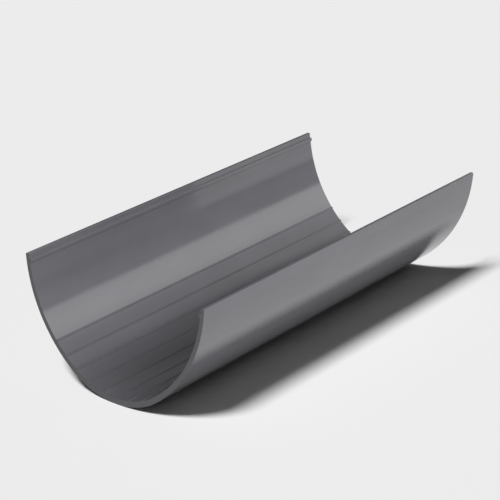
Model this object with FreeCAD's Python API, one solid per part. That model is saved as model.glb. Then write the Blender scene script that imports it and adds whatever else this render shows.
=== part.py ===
import FreeCAD, Part
import math
import os

# One cut length of a deep half-round rain gutter in rigid PVC, lying with its opening up.
# X runs across the trough, Y along it, Z up. The lowest line of the outside is on Z = 0.
# Every size is in millimetres.

# Overall
outer_width = 125.0       # across the outsides of the two rims
outer_depth = 72.5        # rim tops down to the lowest line of the outside
section_length = 259.0    # sawn length

# Trough curves, inside and outside alike: one bottom arc tangent to a longer side arc each side
wall_lean_deg = 3.1       # how far each wall leans outwards at its rim
bottom_radius = 49.8      # bottom arc of the outside
bottom_radius_step = 1.6  # how much smaller the bottom arc of the inside is

# Wall, which thickens from the rims towards the floor
side_wall = 2.45          # at the rims
floor_wall = 3.5          # at the lowest line

# Rims: a thinner lip stands over a snap bead that runs along the inside
lip_step = 0.25           # how much thinner the lip is than the wall
lip_height = 2.9          # rim top down to the bead
bead_height = 2.3
bead_reach = 1.1          # how far the bead stands out of the wall
bead_round = 0.45
rim_outer_round = 0.6
rim_inner_round = 0.35

# Half-round ridges along the floor: one on the lowest line, the rest spaced evenly up both sides
ridges_per_side = 5
ridge_pitch = 9.8         # measured along the inside curve
ridge_radius = 0.55


def on_section(x, z):
    return FreeCAD.Vector(x, 0, z)


class TroughCurve:
    """Three tangent arcs hung from two level rim points. Angles are measured from straight down."""

    def __init__(self, half_width, depth, radius):
        lean = math.radians(wall_lean_deg)
        self.radius = radius
        self.bottom_z = outer_depth - depth + radius
        drop = depth - radius
        # The side arc passes through the rim point at the stated lean and ends tangent to the bottom arc.
        reach = half_width * math.cos(lean) - drop * math.sin(lean) - radius
        self.side_radius = (half_width ** 2 + drop ** 2 - radius ** 2) / (2 * reach)
        self.side_x = half_width - self.side_radius * math.cos(lean)
        self.side_z = outer_depth + self.side_radius * math.sin(lean)
        self.joint_angle = math.atan2(-self.side_x, self.side_z - self.bottom_z)
        self.rim_angle = math.pi / 2 - lean

    def at(self, angle):
        """Point of the curve whose outward normal is at this angle. A negative angle is on the -X side."""
        turn = abs(angle)
        if turn <= self.joint_angle:
            x = self.radius * math.sin(turn)
            z = self.bottom_z - self.radius * math.cos(turn)
        else:
            x = self.side_x + self.side_radius * math.sin(turn)
            z = self.side_z - self.side_radius * math.cos(turn)
        return on_section(math.copysign(x, angle), z)

    def angle_along(self, distance):
        """Normal angle at a distance along the curve from its lowest point."""
        travel = abs(distance)
        bottom_length = self.radius * self.joint_angle
        if travel <= bottom_length:
            angle = travel / self.radius
        else:
            angle = self.joint_angle + (travel - bottom_length) / self.side_radius
        return math.copysign(angle, distance)

    def face(self):
        """Flat region below the rim plane and inside the curve."""
        stations = [
            -self.rim_angle,
            -self.joint_angle,
            self.joint_angle,
            self.rim_angle,
        ]
        edges = []
        for start, end in zip(stations[:-1], stations[1:]):
            arc = Part.Arc(self.at(start), self.at((start + end) / 2), self.at(end))
            edges.append(arc.toShape())
        edges.append(Part.makeLine(self.at(stations[-1]), self.at(stations[0])))
        return Part.Face(Part.Wire(edges))


def polygon_face(points):
    return Part.Face(Part.makePolygon(points + points[:1]))


def prism(face):
    """Section outline drawn out to the full length, half of it each side of the origin."""
    solid = face.extrude(FreeCAD.Vector(0, section_length, 0))
    solid.translate(FreeCAD.Vector(0, -section_length / 2, 0))
    return solid


def rim_frame(side):
    """Rim point of the inside curve, its inward normal and the way down the wall."""
    lean = math.radians(wall_lean_deg)
    rim_point = on_section(side * inner_half_width, outer_depth)
    inward = on_section(-side * math.cos(lean), math.sin(lean))
    down = on_section(-side * math.sin(lean), -math.cos(lean))
    return rim_point, inward, down


def lip_relief(side):
    """Sliver taken off the inside above the bead, which leaves the lip thinner than the wall."""
    rim_point, inward, down = rim_frame(side)
    outer_side = inward * -lip_step
    open_side = inward * bead_reach
    above = down * -lip_height
    corners = [
        rim_point + outer_side + above,
        rim_point + outer_side + down * lip_height,
        rim_point + open_side + down * lip_height,
        rim_point + open_side + above,
    ]
    return polygon_face(corners)


def bead(side):
    """Snap bead with rounded nose corners, rooted in the wall."""
    rim_point, inward, down = rim_frame(side)
    top = rim_point + down * lip_height
    bottom = top + down * bead_height
    root = inward * (-side_wall / 2)
    flank = inward * (bead_reach - bead_round)
    nose = inward * bead_reach
    cut = bead_round * (1 - math.sqrt(0.5))
    upper_mid = top + inward * (bead_reach - cut) + down * cut
    lower_mid = bottom + inward * (bead_reach - cut) - down * cut
    edges = [
        Part.makeLine(top + root, top + flank),
        Part.Arc(top + flank, upper_mid, top + nose + down * bead_round).toShape(),
        Part.makeLine(top + nose + down * bead_round, bottom + nose - down * bead_round),
        Part.Arc(bottom + nose - down * bead_round, lower_mid, bottom + flank).toShape(),
        Part.makeLine(bottom + flank, bottom + root),
        Part.makeLine(bottom + root, top + root),
    ]
    return Part.Face(Part.Wire(edges))


def ridge(distance):
    """Round centred on the inside curve, so half of it stands out of the wall as a ridge."""
    centre = inner_curve.at(inner_curve.angle_along(distance))
    circle = Part.makeCircle(ridge_radius, centre, FreeCAD.Vector(0, 1, 0))
    return Part.Face(Part.Wire([circle]))


def rim_edges(solid, x, radius):
    """Long edges of both rims at this distance from the middle."""
    found = []
    for edge in solid.Edges:
        box = edge.BoundBox
        is_long = box.YLength > section_length - 0.01
        at_top = abs(box.ZMax - outer_depth) < 0.01
        if is_long and at_top and abs(abs(box.XMax) - x) < radius / 2:
            found.append(edge)
    return found


inner_half_width = outer_width / 2 - side_wall
inner_bottom_radius = bottom_radius - bottom_radius_step
outer_curve = TroughCurve(outer_width / 2, outer_depth, bottom_radius)
inner_curve = TroughCurve(inner_half_width, outer_depth - floor_wall, inner_bottom_radius)

additions = [prism(bead(1)), prism(bead(-1))]
for step in range(-ridges_per_side, ridges_per_side + 1):
    additions.append(prism(ridge(step * ridge_pitch)))

gutter = prism(outer_curve.face()).cut(prism(inner_curve.face()))
gutter = gutter.fuse(additions)
gutter = gutter.cut([prism(lip_relief(1)), prism(lip_relief(-1))])
gutter = gutter.removeSplitter().Solids[0]
gutter = gutter.makeFillet(rim_outer_round, rim_edges(gutter, outer_width / 2, rim_outer_round))
lip_inner_x = inner_half_width + lip_step
gutter = gutter.makeFillet(rim_inner_round, rim_edges(gutter, lip_inner_x, rim_inner_round))

os.makedirs("parts", exist_ok=True)
gutter.exportStep("parts/gutter_section.step")
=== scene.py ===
import math

import bpy
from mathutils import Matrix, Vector


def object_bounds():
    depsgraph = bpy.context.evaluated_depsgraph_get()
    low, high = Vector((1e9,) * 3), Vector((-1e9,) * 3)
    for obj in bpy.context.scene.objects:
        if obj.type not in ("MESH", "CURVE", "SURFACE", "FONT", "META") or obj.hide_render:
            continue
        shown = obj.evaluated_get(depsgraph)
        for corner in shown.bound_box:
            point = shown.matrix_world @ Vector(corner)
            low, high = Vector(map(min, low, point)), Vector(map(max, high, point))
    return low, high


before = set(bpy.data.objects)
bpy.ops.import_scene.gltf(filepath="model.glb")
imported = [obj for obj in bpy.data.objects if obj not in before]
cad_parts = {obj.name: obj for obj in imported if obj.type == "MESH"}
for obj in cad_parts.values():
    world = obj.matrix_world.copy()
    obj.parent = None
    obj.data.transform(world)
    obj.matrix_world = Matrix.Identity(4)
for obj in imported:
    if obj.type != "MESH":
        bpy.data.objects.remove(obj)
cad_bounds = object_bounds()

LOW, HIGH = (Vector(corner) for corner in cad_bounds)
CENTRE = (LOW + HIGH) / 2

CAMERA_AZIMUTH = 37.8      # degrees from -Y towards +X
CAMERA_ELEVATION = 22.14   # degrees above the horizon
CAMERA_DISTANCE = 1.1018   # metres
CAMERA_LENS = 136.2        # millimetres
CAMERA_SENSOR = 36.0       # millimetres wide
CAMERA_CLIP = 0.01         # metres; nothing comes nearer to the camera
AIM = CENTRE + Vector((-0.00787, -0.00092, 0.01005))   # the middle of the picture

# How far away the softboxes are, in metres: the strips from the gutter's long axis, and
# the end lights from its middle.
LIGHT_RADIUS = 1.3
# Strip softboxes that run along the gutter: the angles of their two long edges above the
# +X horizon in degrees, where they begin and end along Y in metres, and their radiance.
STRIP_LIGHTS = {
    "low_rear_box": (3.0, 21.0, 0.6, 2.2, 0.2),
    "band_box": (22.5, 44.0, 0.75, 2.2, 2.3),
    "mid_front_box": (22.5, 44.0, -1.8, 0.5, 9.2),
    "high_front_box": (46.0, 72.0, -1.8, 0.5, 1.7),
    "high_rear_box": (46.0, 72.0, 0.6, 2.2, 0.4),
    "top_box": (76.0, 104.0, -1.0, 1.0, 0.1),
    "left_box": (112.0, 150.0, -1.0, 1.0, 1.2),
}
# Softboxes that look at the two ends: azimuth and elevation in degrees, then radiance.
END_LIGHTS = {
    "front_box": (0.0, 25.0, 0.15),
    "rear_box": (180.0, 25.0, 0.4),
}
END_LIGHT_WIDTH = 1.2      # metres
END_LIGHT_HEIGHT = 0.6     # metres

# The floor's own lamp is a sun, so that it lights the whole floor evenly.
FLOOR_SUN_FROM = Vector((0.045, -0.6, 1.0))   # only its direction counts
FLOOR_SUN_ANGLE = 12.0     # degrees across, which softens the edge of the shadow
FLOOR_SUN_STRENGTH = 3.3   # watts per square metre
WORLD_LIGHT = 0.05         # reaches the gutter and the floor from all around

FLOOR_SIZE = 8.0           # metres along each side
FLOOR_COLOUR = (0.88, 0.88, 0.88, 1)

PVC_DARK = (0.085, 0.085, 0.093, 1)
PVC_LIGHT = (0.100, 0.100, 0.109, 1)
SAWN_DARK = (0.062, 0.062, 0.068, 1)
SAWN_LIGHT = (0.086, 0.086, 0.093, 1)
PVC_ROUGHNESS = (0.115, 0.15)          # lowest and highest
DIE_LINE_ROUGHNESS = (-0.015, 0.015)   # added to that of the PVC
SAWN_ROUGHNESS = (0.42, 0.62)

# Noises on the PVC: cycles per metre along X, Y and Z, then the detail and its roughness.
# The die leaves lines along Y, and the saw leaves them along Z on both ends.
PVC_NOISES = {
    "die_lines": ((1500, 5, 1500), 3.0, 0.5),
    "broad_lines": ((160, 1.5, 160), 2.0, 0.5),
    "cloud": ((45, 22, 45), 4.0, 0.5),
    "grain": ((2600, 1900, 2600), 2.0, 0.5),
    "peel": ((420, 240, 420), 2.0, 0.5),
    "saw_lines": ((1700, 1700, 90), 3.0, 0.6),
}
NOISE_LOW = 0.3            # most of a noise lies between these two
NOISE_HIGH = 0.7
TINT_WEIGHTS = {"cloud": 0.6, "broad_lines": 0.4}
RELIEF_WEIGHTS = {"die_lines": 0.45, "peel": 0.35, "grain": 0.2}
RELIEF_DEPTH = 0.0000012   # metres that the relief rises where its noises add up to 1
SAWN_RELIEF = 6.0          # times as deep as the relief of the drawn skin
SAWN_FACING = 0.9          # a normal with more Y than this, either way, is on a sawn end

WELD_DISTANCE = 0.000001   # metres
SHARP_ANGLE = 25.0         # degrees; a greater bend is a real edge

MIX_SOCKETS = {"FLOAT": (2, 3, 0), "RGBA": (6, 7, 2)}   # places of a Mix node's A, B, Result


def direction(azimuth, elevation):
    """Unit vector pointing out from the object; azimuth runs from -Y towards +X."""
    a, e = math.radians(azimuth), math.radians(elevation)
    return Vector((math.sin(a) * math.cos(e), -math.cos(a) * math.cos(e), math.sin(e)))


def look_at(thing, target):
    thing.rotation_euler = (target - thing.location).to_track_quat("-Z", "Y").to_euler()


def make_camera():
    data = bpy.data.cameras.new("camera")
    data.lens = CAMERA_LENS
    data.sensor_width = CAMERA_SENSOR
    data.clip_start = CAMERA_CLIP
    camera = bpy.data.objects.new("camera", data)
    bpy.context.scene.collection.objects.link(camera)
    camera.location = AIM + direction(CAMERA_AZIMUTH, CAMERA_ELEVATION) * CAMERA_DISTANCE
    look_at(camera, AIM)
    bpy.context.scene.camera = camera


def add_lamp(name, data, location):
    """Puts a lamp into the scene that the camera can't see."""
    lamp = bpy.data.objects.new(name, data)
    lamp.visible_camera = False
    lamp.location = location
    bpy.context.scene.collection.objects.link(lamp)
    return lamp


def add_softbox(name, location, width, height, radiance):
    """An area lamp; radiance 1 looks white to whatever it is reflected in."""
    data = bpy.data.lights.new(name, "AREA")
    data.shape = "RECTANGLE"
    data.size = width
    data.size_y = height
    data.energy = math.pi * width * height * radiance
    return add_lamp(name, data, location)


def strip_light(name, low_angle, high_angle, y_from, y_to, radiance):
    """A softbox whose long edges are parallel to the gutter."""
    middle = math.radians((low_angle + high_angle) / 2)
    width = 2 * LIGHT_RADIUS * math.tan(math.radians((high_angle - low_angle) / 2))
    out = Vector((math.cos(middle), 0, math.sin(middle)))
    place = CENTRE + out * LIGHT_RADIUS + Vector((0, (y_from + y_to) / 2, 0))
    lamp = add_softbox(name, place, width, y_to - y_from, radiance)
    lamp.rotation_euler = (0, math.pi / 2 - middle, 0)
    return lamp


def end_light(name, azimuth, elevation, radiance):
    """A softbox that looks at one end of the gutter from above."""
    place = CENTRE + direction(azimuth, elevation) * LIGHT_RADIUS
    lamp = add_softbox(name, place, END_LIGHT_WIDTH, END_LIGHT_HEIGHT, radiance)
    look_at(lamp, CENTRE)
    return lamp


def floor_sun():
    data = bpy.data.lights.new("floor_sun", "SUN")
    data.angle = math.radians(FLOOR_SUN_ANGLE)
    data.energy = FLOOR_SUN_STRENGTH
    lamp = add_lamp("floor_sun", data, CENTRE + FLOOR_SUN_FROM)
    look_at(lamp, CENTRE)
    return lamp


def light_only(lamp, receiver):
    """Keeps a lamp's light on one object, so that floor and gutter are lit apart."""
    group = bpy.data.collections.new(lamp.name + "_receiver")
    group.objects.link(receiver)
    lamp.light_linking.receiver_collection = group


def make_lights(gutter, floor):
    for name, measures in STRIP_LIGHTS.items():
        light_only(strip_light(name, *measures), gutter)
    for name, measures in END_LIGHTS.items():
        light_only(end_light(name, *measures), gutter)
    light_only(floor_sun(), floor)


def make_world():
    world = bpy.data.worlds.new("studio")
    bpy.context.scene.world = world
    world.use_nodes = True
    background = world.node_tree.nodes["Background"]
    background.inputs["Color"].default_value = (1, 1, 1, 1)
    background.inputs["Strength"].default_value = WORLD_LIGHT


def make_floor():
    bpy.ops.mesh.primitive_plane_add(size=FLOOR_SIZE, location=(0, 0, LOW.z))
    floor = bpy.context.object
    floor.name = "floor"
    material = bpy.data.materials.new("pale_floor")
    material.use_nodes = True
    shader = material.node_tree.nodes["Principled BSDF"]
    shader.inputs["Base Color"].default_value = FLOOR_COLOUR
    shader.inputs["Roughness"].default_value = 1.0
    shader.inputs["Specular IOR Level"].default_value = 0.0
    floor.data.materials.append(material)
    return floor


class NodeTree:
    """Short calls for building a shader out of nodes."""

    def __init__(self, tree):
        self.tree = tree

    def put(self, value, socket):
        """Links a node's output to the socket, or writes a plain value on it."""
        if isinstance(value, bpy.types.NodeSocket):
            self.tree.links.new(value, socket)
        else:
            socket.default_value = value

    def node(self, kind, **inputs):
        made = self.tree.nodes.new(kind)
        for name, value in inputs.items():
            self.put(value, made.inputs[name.replace("_", " ")])
        return made

    def math(self, operation, *values):
        made = self.tree.nodes.new("ShaderNodeMath")
        made.operation = operation
        for value, socket in zip(values, made.inputs):
            self.put(value, socket)
        return made.outputs[0]

    def weighted_sum(self, values, weights):
        """Adds up the values that have a weight, each times its weight."""
        weighted = [self.math("MULTIPLY", values[name], weight) for name, weight in weights.items()]
        total = weighted[0]
        for part in weighted[1:]:
            total = self.math("ADD", total, part)
        return total

    def noise(self, place, stretch, detail, rough):
        """Noise from 0 to 1, with stretch cycles per metre along X, Y and Z."""
        scaled = self.tree.nodes.new("ShaderNodeVectorMath")
        scaled.operation = "MULTIPLY"
        self.put(place, scaled.inputs[0])
        self.put(stretch, scaled.inputs[1])
        made = self.node("ShaderNodeTexNoise", Vector=scaled.outputs[0], Scale=1.0,
                         Detail=detail, Roughness=rough)
        return made.outputs["Fac"]

    def spread(self, noise, low, high):
        """Maps NOISE_LOW to NOISE_HIGH of a noise to low to high, and cuts off the rest."""
        made = self.node("ShaderNodeMapRange", Value=noise, From_Min=NOISE_LOW,
                         From_Max=NOISE_HIGH, To_Min=low, To_Max=high)
        return made.outputs["Result"]

    def mix(self, data_type, share, first, second):
        """Goes from the first to the second number (FLOAT) or colour (RGBA)."""
        made = self.tree.nodes.new("ShaderNodeMix")
        made.data_type = data_type
        first_place, second_place, result_place = MIX_SOCKETS[data_type]
        self.put(share, made.inputs[0])
        self.put(first, made.inputs[first_place])
        self.put(second, made.inputs[second_place])
        return made.outputs[result_place]


def extruded_pvc():
    """Graphite PVC: drawn along Y by the die, sawn square at both ends."""
    material = bpy.data.materials.new("graphite_pvc")
    material.use_nodes = True
    tree = NodeTree(material.node_tree)
    shader = material.node_tree.nodes["Principled BSDF"]
    place = tree.node("ShaderNodeTexCoord").outputs["Object"]
    normal = tree.node("ShaderNodeNewGeometry").outputs["True Normal"]
    facing_y = tree.node("ShaderNodeSeparateXYZ", Vector=normal).outputs["Y"]
    sawn = tree.math("GREATER_THAN", tree.math("ABSOLUTE", facing_y), SAWN_FACING)

    noises = {name: tree.noise(place, *measures) for name, measures in PVC_NOISES.items()}

    skin_tint = tree.spread(tree.weighted_sum(noises, TINT_WEIGHTS), 0.0, 1.0)
    skin_colour = tree.mix("RGBA", skin_tint, PVC_DARK, PVC_LIGHT)
    sawn_tint = tree.spread(noises["saw_lines"], 0.0, 1.0)
    sawn_colour = tree.mix("RGBA", sawn_tint, SAWN_DARK, SAWN_LIGHT)
    tree.put(tree.mix("RGBA", sawn, skin_colour, sawn_colour), shader.inputs["Base Color"])

    die_roughness = tree.spread(noises["die_lines"], *DIE_LINE_ROUGHNESS)
    cloud_roughness = tree.spread(noises["cloud"], *PVC_ROUGHNESS)
    skin_roughness = tree.math("ADD", die_roughness, cloud_roughness)
    sawn_roughness = tree.spread(noises["saw_lines"], *SAWN_ROUGHNESS)
    tree.put(tree.mix("FLOAT", sawn, skin_roughness, sawn_roughness), shader.inputs["Roughness"])

    skin_relief = tree.weighted_sum(noises, RELIEF_WEIGHTS)
    sawn_relief = tree.math("MULTIPLY", noises["saw_lines"], SAWN_RELIEF)
    height = tree.mix("FLOAT", sawn, skin_relief, sawn_relief)
    bump = tree.node("ShaderNodeBump", Strength=1.0, Distance=RELIEF_DEPTH, Height=height)
    tree.put(bump.outputs["Normal"], shader.inputs["Normal"])
    return material


def smooth_curves(node):
    """Shades the drawn curves as one smooth sheet and keeps every real edge sharp."""
    weld = node.modifiers.new("weld", "WELD")
    weld.merge_threshold = WELD_DISTANCE
    split = node.modifiers.new("edge_split", "EDGE_SPLIT")
    split.split_angle = math.radians(SHARP_ANGLE)
    split.use_edge_sharp = False
    normals = node.modifiers.new("weighted_normal", "WEIGHTED_NORMAL")
    normals.mode = "FACE_AREA_WITH_ANGLE"


bpy.context.scene.view_settings.view_transform = "Standard"
make_camera()
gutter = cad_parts["gutter_section"]
for slot in gutter.material_slots:
    slot.material = extruded_pvc()
smooth_curves(gutter)
make_lights(gutter, make_floor())
make_world()
